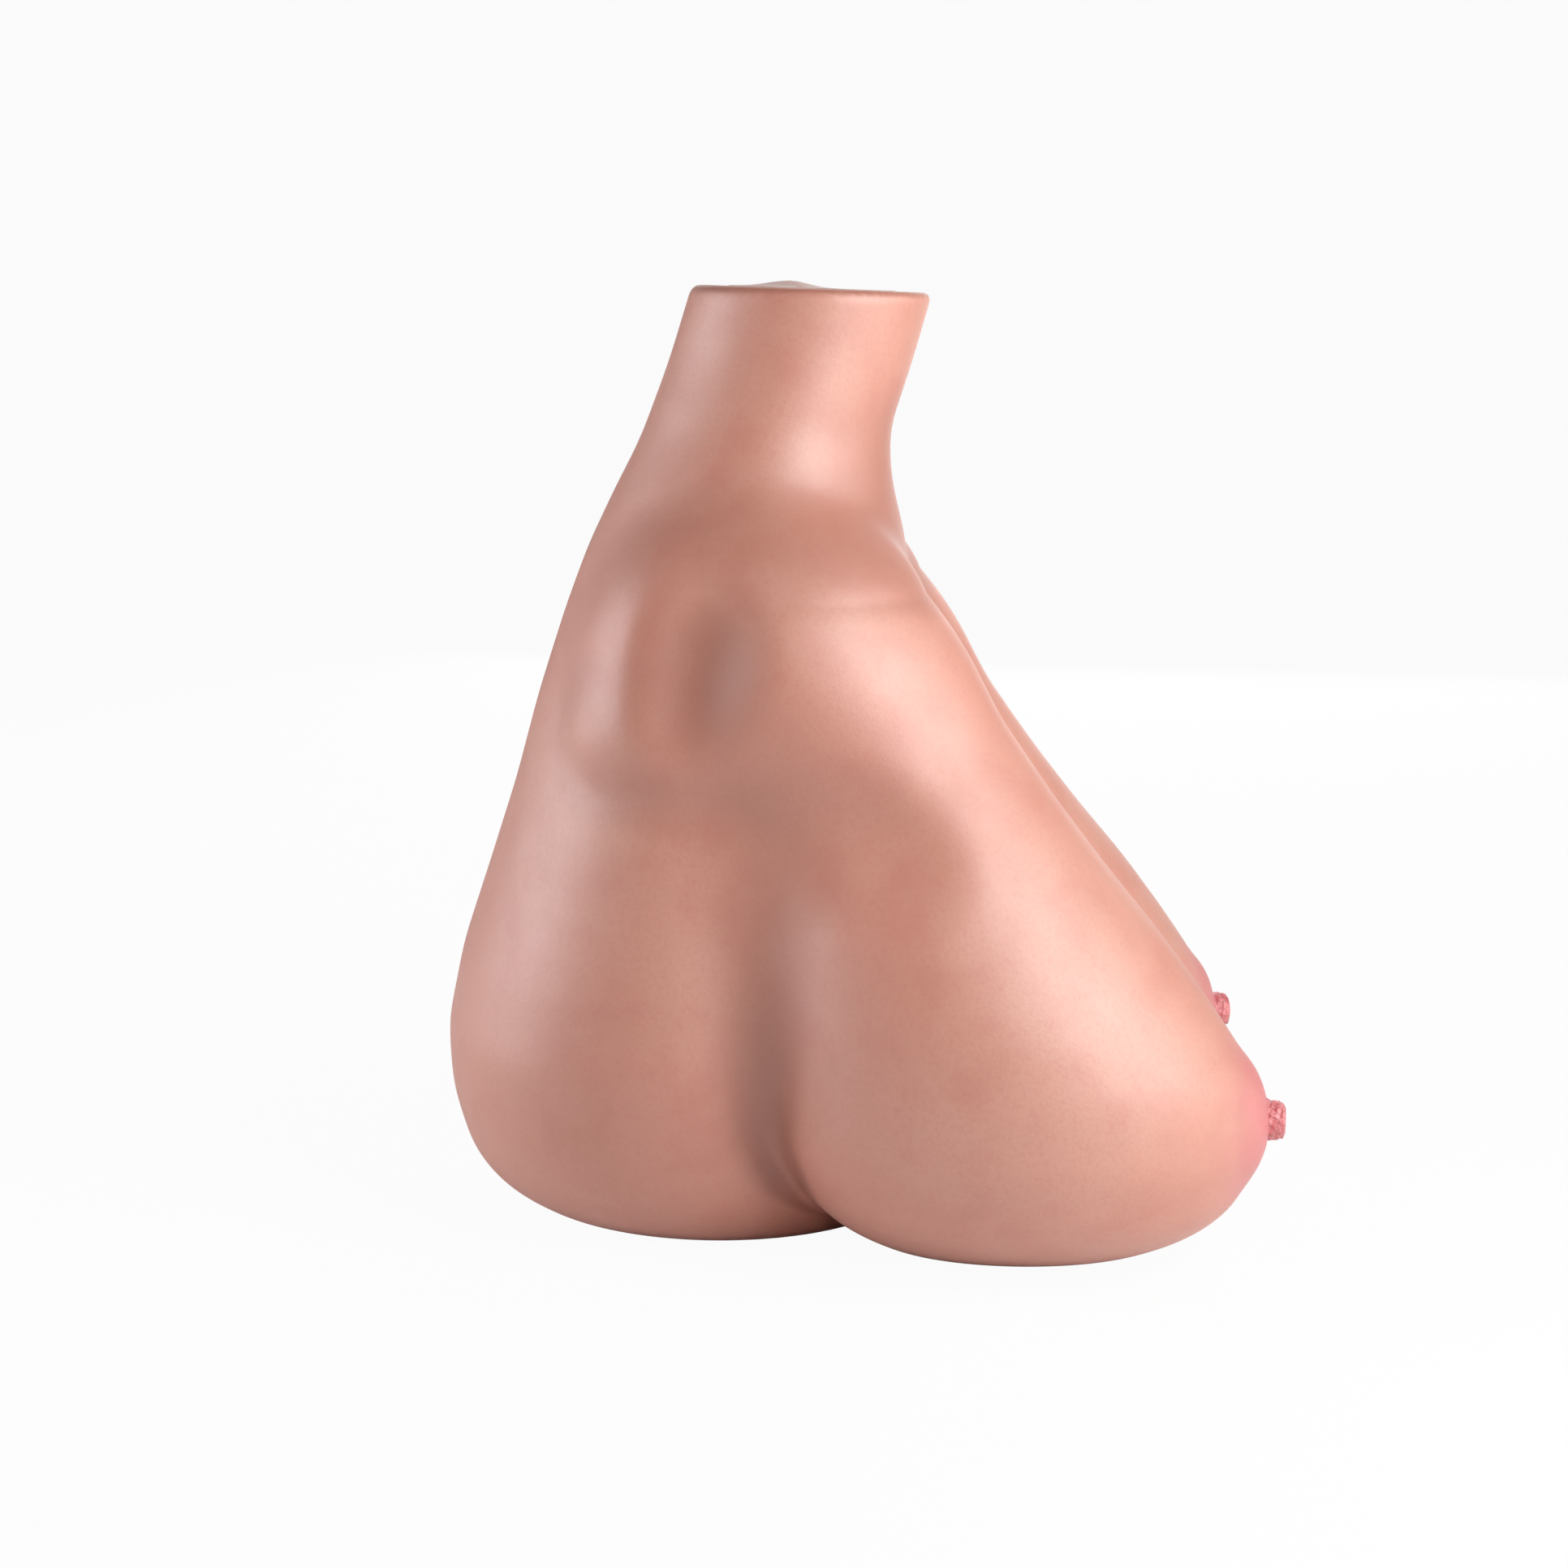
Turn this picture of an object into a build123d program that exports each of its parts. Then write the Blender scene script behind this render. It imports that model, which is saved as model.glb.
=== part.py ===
from build123d import *
import os
from math import atan2, cos, radians, sin, tan

"""Life-size soft torso form: neck, armless shoulders, back and bust in one elastomer skin.

The torso leans forward over a flat base and rests on that base and on the undersides of
the two breasts. The skin is cast round a foam core that is glued in two halves on a small
steel armature: a bent spine tube on a flange and base board, and a shoulder tube with a
round knob at each end. Each breast holds a softer gel insert. The neck is cut level and
closed by a cap over a stiff plug.

Frame, in millimetres: +Z up, -Y the way the chest faces, X = 0 the plane of symmetry,
origin on the ground under the foot of the spine tube. Left is the torso's own left, +X.
"""

# ---------------------------------------------------------------- driving dimensions
NECK_CUT = 435.0  # height of the level cut
SKIN = 12.0  # wall of the skin
GLUE_GAP = 0.2  # round every piece inside the skin
NECK_RIM_RADIUS = 4.5

# Torso sections: height, back, front, half width. Back and front are places along Y.
TORSO_SECTIONS = [
    (0.0, 58.0, -92.0, 77.0),
    (14.0, 82.0, -106.0, 97.0),
    (40.0, 97.0, -110.0, 113.0),
    (80.0, 102.0, -108.0, 123.0),
    (130.0, 94.0, -110.0, 122.0),
    (170.0, 81.0, -112.0, 115.0),
    (210.0, 68.0, -113.0, 107.0),
    (250.0, 57.0, -114.0, 102.0),
    (290.0, 44.0, -112.0, 93.0),
    (320.0, 33.0, -108.0, 82.0),
    (345.0, 21.0, -106.0, 69.0),
    (372.0, 6.0, -109.0, 60.0),
    (402.0, -7.0, -119.0, 57.5),
    (NECK_CUT, -17.0, -129.0, 57.0),
]

# Breast sections: height, middle across, middle along Y, half width, half depth.
# The lowest is the patch that rests on the ground, and the highest lies inside the chest.
BREAST_SECTIONS = [
    (0.0, 76.0, -170.0, 32.0, 58.0),
    (12.0, 78.0, -171.0, 54.0, 83.0),
    (30.0, 82.0, -171.0, 72.0, 100.0),
    (60.0, 84.5, -168.0, 82.5, 110.5),
    (90.0, 84.5, -164.0, 83.5, 110.0),
    (120.0, 83.0, -153.0, 80.0, 101.0),
    (150.0, 80.0, -141.0, 73.0, 91.0),
    (180.0, 75.0, -129.0, 63.0, 78.0),
    (210.0, 70.0, -117.0, 54.0, 67.0),
    (240.0, 64.0, -104.0, 45.0, 57.0),
    (270.0, 58.0, -88.0, 35.0, 46.0),
    (300.0, 52.0, -68.0, 20.0, 32.0),
]

# Shoulders, from the plane of symmetry out to where the arm is left off: place across,
# middle along Y, middle height, half depth, half height
SHOULDER_SECTIONS = [
    (0.0, -50.0, 276.0, 62.0, 52.0),
    (45.0, -56.0, 272.0, 66.0, 54.0),
    (80.0, -60.0, 269.0, 64.0, 51.0),
    (99.0, -63.0, 267.0, 53.0, 42.0),
    (112.0, -66.0, 265.0, 34.0, 27.0),
    (118.0, -68.0, 264.0, 14.0, 11.0),
]

# Nipples: the middle of the base, and the turn outwards from straight ahead
NIPPLE_BASE = (90.0, -276.0, 66.0)
NIPPLE_TURN = 8.0
NIPPLE_FLARE_RADIUS = 12.0
NIPPLE_RADIUS = 8.2
NIPPLE_LENGTH = 13.0
NIPPLE_SEAT = 3.0  # how deep the flare sits in the skin
SPIGOT_RADIUS = 5.5
SPIGOT_LENGTH = 8.0

# Neck closure
CAP_RADII = (41.0, 40.0)
CAP_MIDDLE_Y = -73.0
CAP_THICKNESS = 9.0
CAP_DOME = 3.0
PLUG_THICKNESS = 18.0

# Spine tube in the plane of symmetry, each point along Y and up: upright from the base,
# then leaning forward to the neck
SPINE_FOOT = (0.0, 26.6)
SPINE_BEND = (0.0, 108.0)
SPINE_TOP = (-66.0, 414.0)
SPINE_RADIUS = 11.0
SPINE_WALL = 1.5
SPINE_BEND_RADIUS = 120.0

# Shoulder tube and its knobs
SHOULDER_TUBE_HEIGHT = 284.0
SHOULDER_TUBE_OFFSET = 24.0  # in front of the spine tube, square to its lean
SHOULDER_TUBE_HALF_LENGTH = 74.0
SHOULDER_TUBE_RADIUS = 8.0
SHOULDER_TUBE_WALL = 1.5
KNOB_RADIUS = 20.0

# Clamp between the tubes
CLAMP_WIDTH = 34.0
CLAMP_HEIGHT = 36.0
CLAMP_WALL = 7.0
CLAMP_EDGE_RADIUS = 3.0
SCREW_RADIUS = 2.5
SCREW_HEAD_RADIUS = 4.25
SCREW_HEAD_HEIGHT = 5.0

# Base board, flange and its screws
BOARD_SIZE = (124.0, 92.0)
BOARD_CORNER = 14.0
BOARD_BOTTOM = TORSO_SECTIONS[1][0] + GLUE_GAP
BOARD_THICKNESS = 12.0
FLANGE_RADIUS = 34.0
FLANGE_THICKNESS = 4.0
COLLAR_WALL = 3.5
COLLAR_HEIGHT = 24.0
FLANGE_SCREW_CIRCLE = 25.0
FLANGE_SCREW_COUNT = 4
FLANGE_SCREW_RADIUS = 2.0
FLANGE_SCREW_HEAD_RADIUS = 4.0
FLANGE_SCREW_HEAD_HEIGHT = 2.4
FLANGE_SCREW_DEPTH = 10.0

SIDES = {"left": 1, "right": -1}
SPINE_LEAN = atan2(SPINE_BEND[0] - SPINE_TOP[0], SPINE_TOP[1] - SPINE_BEND[1])
PLUG_TOP = NECK_CUT - CAP_THICKNESS
CORE_TOP = PLUG_TOP - PLUG_THICKNESS
BOARD_TOP = BOARD_BOTTOM + BOARD_THICKNESS
FLANGE_BOTTOM = BOARD_TOP + GLUE_GAP

os.makedirs("parts", exist_ok=True)


# ---------------------------------------------------------------- forms used more than once
def torso_form(inset=0.0):
    """The torso and neck through their sections.

    Drawn in by inset, it starts one section higher and ends under the neck cap.
    """
    with BuildPart() as form:
        for height, back, front, half_width in TORSO_SECTIONS[1 if inset else 0 :]:
            with BuildSketch(Plane.XY.offset(height)):
                with Locations((0, (back + front) / 2)):
                    Ellipse(half_width - inset, (back - front) / 2 - inset)
        loft()
        if inset:
            split(bisect_by=Plane.XY.offset(PLUG_TOP), keep=Keep.BOTTOM)
        else:
            fillet(form.edges().group_by(Axis.Z)[-1], radius=NECK_RIM_RADIUS)
    return form.part


def breast_form(side, inset=0.0):
    """The breast on one side. Drawn in by inset, it also starts one section higher."""
    with BuildPart() as form:
        for height, across, along, half_width, half_depth in BREAST_SECTIONS[1 if inset else 0 :]:
            with BuildSketch(Plane.XY.offset(height)):
                with Locations((side * across, along)):
                    Ellipse(half_width - inset, half_depth - inset)
        loft()
    return form.part


def shoulders_form(inset=0.0):
    """Both shoulders in one. Drawn in by inset, it ends two sections sooner."""
    outwards = SHOULDER_SECTIONS[1 : -2 if inset else None]
    right_to_left = [(-across, *rest) for across, *rest in reversed(outwards)]
    with BuildPart() as form:
        for across, along, height, half_depth, half_height in right_to_left + [SHOULDER_SECTIONS[0]] + outwards:
            with BuildSketch(Plane.YZ.offset(across)):
                with Locations((along, height)):
                    Ellipse(half_depth - inset, half_height - inset)
        loft()
    return form.part


def bar_along_spine(radius, beyond=0.0):
    """A solid round bar on the spine tube's line, longer by beyond at each end."""
    foot = (SPINE_FOOT[0], SPINE_FOOT[1] - beyond)
    top = (SPINE_TOP[0] - beyond * sin(SPINE_LEAN), SPINE_TOP[1] + beyond * cos(SPINE_LEAN))
    with BuildPart() as form:
        with BuildLine(Plane.YZ):
            FilletPolyline(foot, SPINE_BEND, top, radius=SPINE_BEND_RADIUS)
        with BuildSketch(Plane.XY.offset(foot[1])):
            Circle(radius)
        sweep()
    return form.part


def nipple_axis(side):
    """The line through the middle of a nipple, outwards."""
    across, along, height = NIPPLE_BASE
    turn = radians(NIPPLE_TURN)
    return Axis((side * across, along, height), (side * sin(turn), -cos(turn), 0))


# Planes on the leaning part of the spine tube, where the shoulder tube crosses it
clamp_rise = SHOULDER_TUBE_HEIGHT - SPINE_BEND[1]
clamp_plane = Plane(
    origin=(0, SPINE_BEND[0] - clamp_rise * tan(SPINE_LEAN), SHOULDER_TUBE_HEIGHT),
    x_dir=(1, 0, 0),
    z_dir=(0, -sin(SPINE_LEAN), cos(SPINE_LEAN)),
)
shoulder_tube_plane = Plane(
    origin=clamp_plane.from_local_coords(Vector(0, -SHOULDER_TUBE_OFFSET, 0)),
    x_dir=(0, 1, 0),
    z_dir=(1, 0, 0),
)

outer_torso = torso_form()
inner_torso = torso_form(inset=SKIN)
core_torso = torso_form(inset=SKIN + GLUE_GAP)
outer_breasts = [breast_form(side) for side in SIDES.values()]
inner_breasts = [breast_form(side, inset=SKIN) for side in SIDES.values()]
outer_shoulders = shoulders_form()
inner_shoulders = shoulders_form(inset=SKIN)
core_shoulders = shoulders_form(inset=SKIN + GLUE_GAP)


# ---------------------------------------------------------------- nipples
nipples = []
for name, side in SIDES.items():
    axis = nipple_axis(side)
    up = Vector(0, 0, 1)
    with BuildPart() as nipple:
        with BuildSketch(Plane(origin=axis.position, x_dir=up, z_dir=up.cross(axis.direction))):
            with BuildLine():
                Polyline(
                    (0, NIPPLE_LENGTH),
                    (0, -SPIGOT_LENGTH),
                    (SPIGOT_RADIUS, -SPIGOT_LENGTH),
                    (SPIGOT_RADIUS, -NIPPLE_SEAT),
                    (NIPPLE_FLARE_RADIUS, -NIPPLE_SEAT),
                )
                Spline(
                    (NIPPLE_FLARE_RADIUS, -NIPPLE_SEAT),
                    (NIPPLE_RADIUS + 0.9, 0.12 * NIPPLE_LENGTH),
                    (NIPPLE_RADIUS, 0.6 * NIPPLE_LENGTH),
                    (0, NIPPLE_LENGTH),
                    tangents=((-1, 1), (-1, 0)),
                )
            make_face()
        revolve(axis=axis)
    nipple.part.label = "nipple_" + name
    export_step(nipple.part, "parts/nipple_" + name + ".step")
    nipples.append(nipple.part)


# ---------------------------------------------------------------- skin
with BuildPart() as neck_opening:
    with BuildSketch(Plane.XY.offset(PLUG_TOP)):
        with Locations((0, CAP_MIDDLE_Y)):
            Ellipse(*CAP_RADII)
    extrude(amount=2 * CAP_THICKNESS)

with BuildPart() as body_skin:
    add(outer_torso)
    add(outer_shoulders)
    add(outer_breasts)
    add(inner_torso, mode=Mode.SUBTRACT)
    add(inner_shoulders, mode=Mode.SUBTRACT)
    add(inner_breasts, mode=Mode.SUBTRACT)
    add(neck_opening.part, mode=Mode.SUBTRACT)
    add(nipples, mode=Mode.SUBTRACT)
body_skin.part.label = "body_skin"
export_step(body_skin.part, "parts/body_skin.step")


# ---------------------------------------------------------------- neck closure
dome_radius = (CAP_RADII[0] ** 2 + CAP_DOME**2) / (2 * CAP_DOME)
with BuildPart() as neck_cap:
    with BuildSketch(Plane.XY.offset(PLUG_TOP)):
        with Locations((0, CAP_MIDDLE_Y)):
            Ellipse(CAP_RADII[0] - GLUE_GAP, CAP_RADII[1] - GLUE_GAP)
    extrude(amount=CAP_THICKNESS + CAP_DOME)
    with Locations((0, CAP_MIDDLE_Y, NECK_CUT + CAP_DOME - dome_radius)):
        Sphere(dome_radius, mode=Mode.INTERSECT)
neck_cap.part.label = "neck_cap"
export_step(neck_cap.part, "parts/neck_cap.step")

with BuildPart() as neck_plug:
    add(core_torso)
    split(bisect_by=Plane.XY.offset(CORE_TOP), keep=Keep.TOP)
    split(bisect_by=Plane.XY.offset(PLUG_TOP - GLUE_GAP), keep=Keep.BOTTOM)
    add(bar_along_spine(SPINE_RADIUS + GLUE_GAP, beyond=GLUE_GAP), mode=Mode.SUBTRACT)
neck_plug.part.label = "neck_plug"
export_step(neck_plug.part, "parts/neck_plug.step")


# ---------------------------------------------------------------- armature
with BuildPart() as spine_tube:
    add(bar_along_spine(SPINE_RADIUS))
    add(bar_along_spine(SPINE_RADIUS - SPINE_WALL, beyond=1.0), mode=Mode.SUBTRACT)
spine_tube.part.label = "spine_tube"
export_step(spine_tube.part, "parts/spine_tube.step")

with BuildPart() as shoulder_tube:
    with BuildSketch(shoulder_tube_plane):
        Circle(SHOULDER_TUBE_RADIUS)
        Circle(SHOULDER_TUBE_RADIUS - SHOULDER_TUBE_WALL, mode=Mode.SUBTRACT)
    extrude(amount=SHOULDER_TUBE_HALF_LENGTH, both=True)
shoulder_tube.part.label = "shoulder_tube"
export_step(shoulder_tube.part, "parts/shoulder_tube.step")

knobs = []
for name, side in SIDES.items():
    knob_plane = Plane(
        origin=shoulder_tube_plane.origin + Vector(side * SHOULDER_TUBE_HALF_LENGTH, 0, 0),
        x_dir=(0, 1, 0),
        z_dir=(side, 0, 0),
    )
    with BuildPart() as knob:
        with Locations(knob_plane):
            Sphere(KNOB_RADIUS)
            with Locations((0, 0, GLUE_GAP)):
                Cylinder(
                    SHOULDER_TUBE_RADIUS + GLUE_GAP,
                    2 * KNOB_RADIUS,
                    align=(Align.CENTER, Align.CENTER, Align.MAX),
                    mode=Mode.SUBTRACT,
                )
    knob.part.label = "shoulder_knob_" + name
    export_step(knob.part, "parts/shoulder_knob_" + name + ".step")
    knobs.append(knob.part)

clamp_depth = SHOULDER_TUBE_OFFSET + SPINE_RADIUS + SHOULDER_TUBE_RADIUS + 2 * CLAMP_WALL
clamp_back = SPINE_RADIUS + CLAMP_WALL
clamp_front = clamp_back - clamp_depth
with BuildPart(clamp_plane) as cross_clamp:
    with Locations((0, clamp_back - clamp_depth / 2, 0)):
        Box(CLAMP_WIDTH, clamp_depth, CLAMP_HEIGHT)
    fillet(cross_clamp.edges(), radius=CLAMP_EDGE_RADIUS)
    Hole(SPINE_RADIUS + GLUE_GAP)
    with Locations((0, -SHOULDER_TUBE_OFFSET, 0)):
        Cylinder(
            SHOULDER_TUBE_RADIUS + GLUE_GAP,
            2 * CLAMP_WIDTH,
            rotation=(0, 90, 0),
            mode=Mode.SUBTRACT,
        )
    with Locations((0, clamp_back - clamp_depth / 2, 0)):
        Cylinder(
            SCREW_RADIUS + GLUE_GAP,
            2 * clamp_depth,
            rotation=(90, 0, 0),
            mode=Mode.SUBTRACT,
        )
cross_clamp.part.label = "cross_clamp"
export_step(cross_clamp.part, "parts/cross_clamp.step")

# One set screw bears on each tube, head outside the clamp
with BuildPart(clamp_plane) as clamp_screws:
    for face_place, outward in ((clamp_back, 1), (clamp_front, -1)):
        with Locations((0, face_place, 0)):
            with Locations(Rotation(-90 * outward, 0, 0)):
                Cylinder(
                    SCREW_HEAD_RADIUS,
                    SCREW_HEAD_HEIGHT,
                    align=(Align.CENTER, Align.CENTER, Align.MIN),
                )
                Cylinder(
                    SCREW_RADIUS,
                    CLAMP_WALL - GLUE_GAP,
                    align=(Align.CENTER, Align.CENTER, Align.MAX),
                )
clamp_screws.part.label = "clamp_screws"
export_step(clamp_screws.part, "parts/clamp_screws.step")

with BuildPart() as base_board:
    with BuildSketch(Plane.XY.offset(BOARD_BOTTOM)):
        RectangleRounded(*BOARD_SIZE, BOARD_CORNER)
    extrude(amount=BOARD_THICKNESS)
    with Locations(Plane.XY.offset(BOARD_TOP)):
        with PolarLocations(FLANGE_SCREW_CIRCLE, FLANGE_SCREW_COUNT, start_angle=45):
            Hole(FLANGE_SCREW_RADIUS, depth=FLANGE_SCREW_DEPTH + GLUE_GAP)
base_board.part.label = "base_board"
export_step(base_board.part, "parts/base_board.step")

with BuildPart() as floor_flange:
    with BuildSketch(Plane.XY.offset(FLANGE_BOTTOM)):
        Circle(FLANGE_RADIUS)
    extrude(amount=FLANGE_THICKNESS)
    with BuildSketch(Plane.XY.offset(FLANGE_BOTTOM)):
        Circle(SPINE_RADIUS + GLUE_GAP + COLLAR_WALL)
    extrude(amount=COLLAR_HEIGHT)
    fillet(
        floor_flange.edges().filter_by(GeomType.CIRCLE).group_by(Axis.Z)[1].sort_by(SortBy.RADIUS)[0],
        radius=COLLAR_WALL / 2,
    )
    with BuildSketch(Plane.XY.offset(FLANGE_BOTTOM)):
        Circle(SPINE_RADIUS + GLUE_GAP)
        with PolarLocations(FLANGE_SCREW_CIRCLE, FLANGE_SCREW_COUNT, start_angle=45):
            Circle(FLANGE_SCREW_RADIUS + GLUE_GAP)
    extrude(amount=COLLAR_HEIGHT, mode=Mode.SUBTRACT)
floor_flange.part.label = "floor_flange"
export_step(floor_flange.part, "parts/floor_flange.step")

with BuildPart() as flange_screws:
    with Locations(Plane.XY.offset(FLANGE_BOTTOM + FLANGE_THICKNESS)):
        with PolarLocations(FLANGE_SCREW_CIRCLE, FLANGE_SCREW_COUNT, start_angle=45):
            Cylinder(
                FLANGE_SCREW_HEAD_RADIUS,
                FLANGE_SCREW_HEAD_HEIGHT,
                align=(Align.CENTER, Align.CENTER, Align.MIN),
            )
            Cylinder(
                FLANGE_SCREW_RADIUS - GLUE_GAP,
                FLANGE_THICKNESS + FLANGE_SCREW_DEPTH,
                align=(Align.CENTER, Align.CENTER, Align.MAX),
            )
flange_screws.part.label = "flange_screws"
export_step(flange_screws.part, "parts/flange_screws.step")


# ---------------------------------------------------------------- foam core and gel
# Room for the armature: each piece as a plain solid, a glue gap larger
with BuildPart() as armature_room:
    with BuildSketch(Plane.XY.offset(BOARD_BOTTOM - GLUE_GAP)):
        RectangleRounded(BOARD_SIZE[0] + 2 * GLUE_GAP, BOARD_SIZE[1] + 2 * GLUE_GAP, BOARD_CORNER)
    extrude(amount=BOARD_THICKNESS + 2 * GLUE_GAP)
    with BuildSketch(Plane.XY.offset(BOARD_TOP)):
        Circle(FLANGE_RADIUS + GLUE_GAP)
    extrude(amount=FLANGE_THICKNESS + FLANGE_SCREW_HEAD_HEIGHT + 2 * GLUE_GAP)
    with BuildSketch(Plane.XY.offset(BOARD_TOP)):
        Circle(SPINE_RADIUS + COLLAR_WALL + 2 * GLUE_GAP)
    extrude(amount=COLLAR_HEIGHT + 2 * GLUE_GAP)
    with BuildSketch(shoulder_tube_plane):
        Circle(SHOULDER_TUBE_RADIUS + GLUE_GAP)
    extrude(amount=SHOULDER_TUBE_HALF_LENGTH, both=True)
    with Locations(clamp_plane):
        with Locations((0, clamp_back - clamp_depth / 2, 0)):
            Box(CLAMP_WIDTH + 2 * GLUE_GAP, clamp_depth + 2 * GLUE_GAP, CLAMP_HEIGHT + 2 * GLUE_GAP)
            Cylinder(
                SCREW_HEAD_RADIUS + GLUE_GAP,
                clamp_depth + 2 * SCREW_HEAD_HEIGHT + 2 * GLUE_GAP,
                rotation=(90, 0, 0),
            )
    for side in SIDES.values():
        with Locations(shoulder_tube_plane.origin + Vector(side * SHOULDER_TUBE_HALF_LENGTH, 0, 0)):
            Sphere(KNOB_RADIUS + GLUE_GAP)
    add(bar_along_spine(SPINE_RADIUS + GLUE_GAP, beyond=GLUE_GAP))

for name, side in SIDES.items():
    with BuildPart() as foam_core:
        add(core_torso)
        add(core_shoulders)
        split(bisect_by=Plane.XY.offset(CORE_TOP - GLUE_GAP), keep=Keep.BOTTOM)
        split(bisect_by=Plane.YZ.offset(side * GLUE_GAP / 2), keep=Keep.TOP if side > 0 else Keep.BOTTOM)
        add(armature_room.part, mode=Mode.SUBTRACT)
    foam_core.part.label = "foam_core_" + name
    export_step(foam_core.part, "parts/foam_core_" + name + ".step")

    with BuildPart() as breast_gel:
        add(breast_form(side, inset=SKIN + GLUE_GAP))
        split(bisect_by=Plane.YZ.offset(side * GLUE_GAP), keep=Keep.TOP if side > 0 else Keep.BOTTOM)
        add(inner_torso, mode=Mode.SUBTRACT)
        add(inner_shoulders, mode=Mode.SUBTRACT)
    breast_gel.part.label = "breast_gel_" + name
    export_step(breast_gel.part, "parts/breast_gel_" + name + ".step")
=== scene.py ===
from math import cos, pi, radians, sin

import bmesh
import bpy
import numpy as np
import openvdb
from mathutils import Matrix, Vector


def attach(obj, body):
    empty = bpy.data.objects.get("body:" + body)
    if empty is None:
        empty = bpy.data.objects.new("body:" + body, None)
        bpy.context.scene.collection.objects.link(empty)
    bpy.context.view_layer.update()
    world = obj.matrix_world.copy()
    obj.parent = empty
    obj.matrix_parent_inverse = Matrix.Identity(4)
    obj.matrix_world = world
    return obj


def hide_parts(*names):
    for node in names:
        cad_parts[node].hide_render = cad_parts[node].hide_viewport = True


# Looks of the soft torso form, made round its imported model.
#
# The skin is sculpted as an implicit surface: elliptical columns, ellipsoids and grooves,
# blended softly, then meshed and pulled exactly onto the surface. Sculpting is in
# millimetres, and every Blender object is in metres. X runs from the torso's right (-) to
# its left (+), the front is towards -Y, and Z is up from the ground.

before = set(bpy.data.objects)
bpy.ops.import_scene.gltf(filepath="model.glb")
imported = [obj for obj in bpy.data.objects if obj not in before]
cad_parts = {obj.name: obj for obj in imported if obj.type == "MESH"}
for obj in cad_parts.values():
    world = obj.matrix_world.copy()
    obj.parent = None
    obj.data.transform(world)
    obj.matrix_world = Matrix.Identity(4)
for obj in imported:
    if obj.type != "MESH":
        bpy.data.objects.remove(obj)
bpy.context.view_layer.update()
MM = 0.001
SIDES = {"left": 1, "right": -1}

# ---------------------------------------------------------------- camera
CAMERA_PLACE = Vector((-1.2096, -0.0917, 0.435))
CAMERA_DOWN = radians(10.9)
CAMERA_YAW = radians(1.5)
CAMERA_LENS = 59.07


def make_camera():
    """A camera level with the neck, on the torso's right, looking a little down."""
    data = bpy.data.cameras.new("camera")
    data.lens = CAMERA_LENS
    data.sensor_width = 36.0
    camera = bpy.data.objects.new("camera", data)
    aim = Vector((cos(CAMERA_YAW) * cos(CAMERA_DOWN), sin(CAMERA_YAW) * cos(CAMERA_DOWN), -sin(CAMERA_DOWN)))
    camera.matrix_world = Matrix.Translation(CAMERA_PLACE) @ aim.to_track_quat("-Z", "Y").to_matrix().to_4x4()
    bpy.context.scene.collection.objects.link(camera)
    bpy.context.scene.camera = camera


make_camera()

# ---------------------------------------------------------------- sculpting tools
def soft_min(a, b, blend):
    """The union of two forms, rounded over a width of blend."""
    share = np.clip(0.5 + 0.5 * (b - a) / blend, 0, 1)
    return b + (a - b) * share - blend * share * (1 - share)


def soft_max(a, b, blend):
    """The overlap of two forms, rounded over a width of blend."""
    return -soft_min(-a, -b, blend)


def smooth_table(stations, spread):
    """Curves through the stations, every millimetre of height, with their corners eased."""
    rows = np.array(stations, float)
    heights = np.arange(rows[0, 0] - 3 * spread, rows[-1, 0] + 3 * spread + 1)
    reach = np.arange(-3 * spread, 3 * spread + 1)
    weight = np.exp(-0.5 * (reach / spread) ** 2)
    weight /= weight.sum()
    inner = slice(int(3 * spread), -int(3 * spread))
    curves = []
    for column in rows.T[1:]:
        first = (column[1] - column[0]) / (rows[1, 0] - rows[0, 0])
        last = (column[-1] - column[-2]) / (rows[-1, 0] - rows[-2, 0])
        line = np.interp(heights, rows[:, 0], column)
        line = np.where(heights < rows[0, 0], column[0] + first * (heights - rows[0, 0]), line)
        line = np.where(heights > rows[-1, 0], column[-1] + last * (heights - rows[-1, 0]), line)
        curves.append(np.convolve(line, weight, mode="same")[inner])
    return heights[inner], curves


def ellipse_distance(u, v, radius_u, radius_v):
    """About how far (u, v) is outside an ellipse."""
    radius_u = np.maximum(radius_u, 1.0)
    radius_v = np.maximum(radius_v, 1.0)
    near = np.sqrt((u / radius_u) ** 2 + (v / radius_v) ** 2) + 1e-6
    steep = np.sqrt((u / radius_u**2) ** 2 + (v / radius_v**2) ** 2) + 1e-6
    return near * (near - 1) / steep


def ellipsoid(x, y, z, middle, radii, lean=0.0):
    """About how far a point is outside an ellipsoid whose top leans forward."""
    u = x - middle[0]
    v0 = y - middle[1]
    w0 = z - middle[2]
    v = v0 * cos(lean) + w0 * sin(lean)
    w = w0 * cos(lean) - v0 * sin(lean)
    near = np.sqrt((u / radii[0]) ** 2 + (v / radii[1]) ** 2 + (w / radii[2]) ** 2) + 1e-6
    steep = np.sqrt((u / radii[0] ** 2) ** 2 + (v / radii[1] ** 2) ** 2 + (w / radii[2] ** 2) ** 2) + 1e-6
    return near * (near - 1) / steep


# ---------------------------------------------------------------- the torso's own form
# Torso and neck: height, back, front, half width
TORSO = [
    (0, 60, -122, 78),
    (12, 80, -122, 97),
    (30, 93, -119, 110),
    (60, 101, -112, 119),
    (90, 102, -109, 125),
    (130, 94, -110, 123),
    (170, 81, -112, 114),
    (210, 68, -113, 106),
    (250, 57, -114, 102),
    (290, 44, -112, 93),
    (320, 33, -108, 81),
    (345, 21, -106, 68),
    (370, 7, -109, 58),
    (400, -6, -119, 54),
    (435, -17, -129, 53),
]
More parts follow.
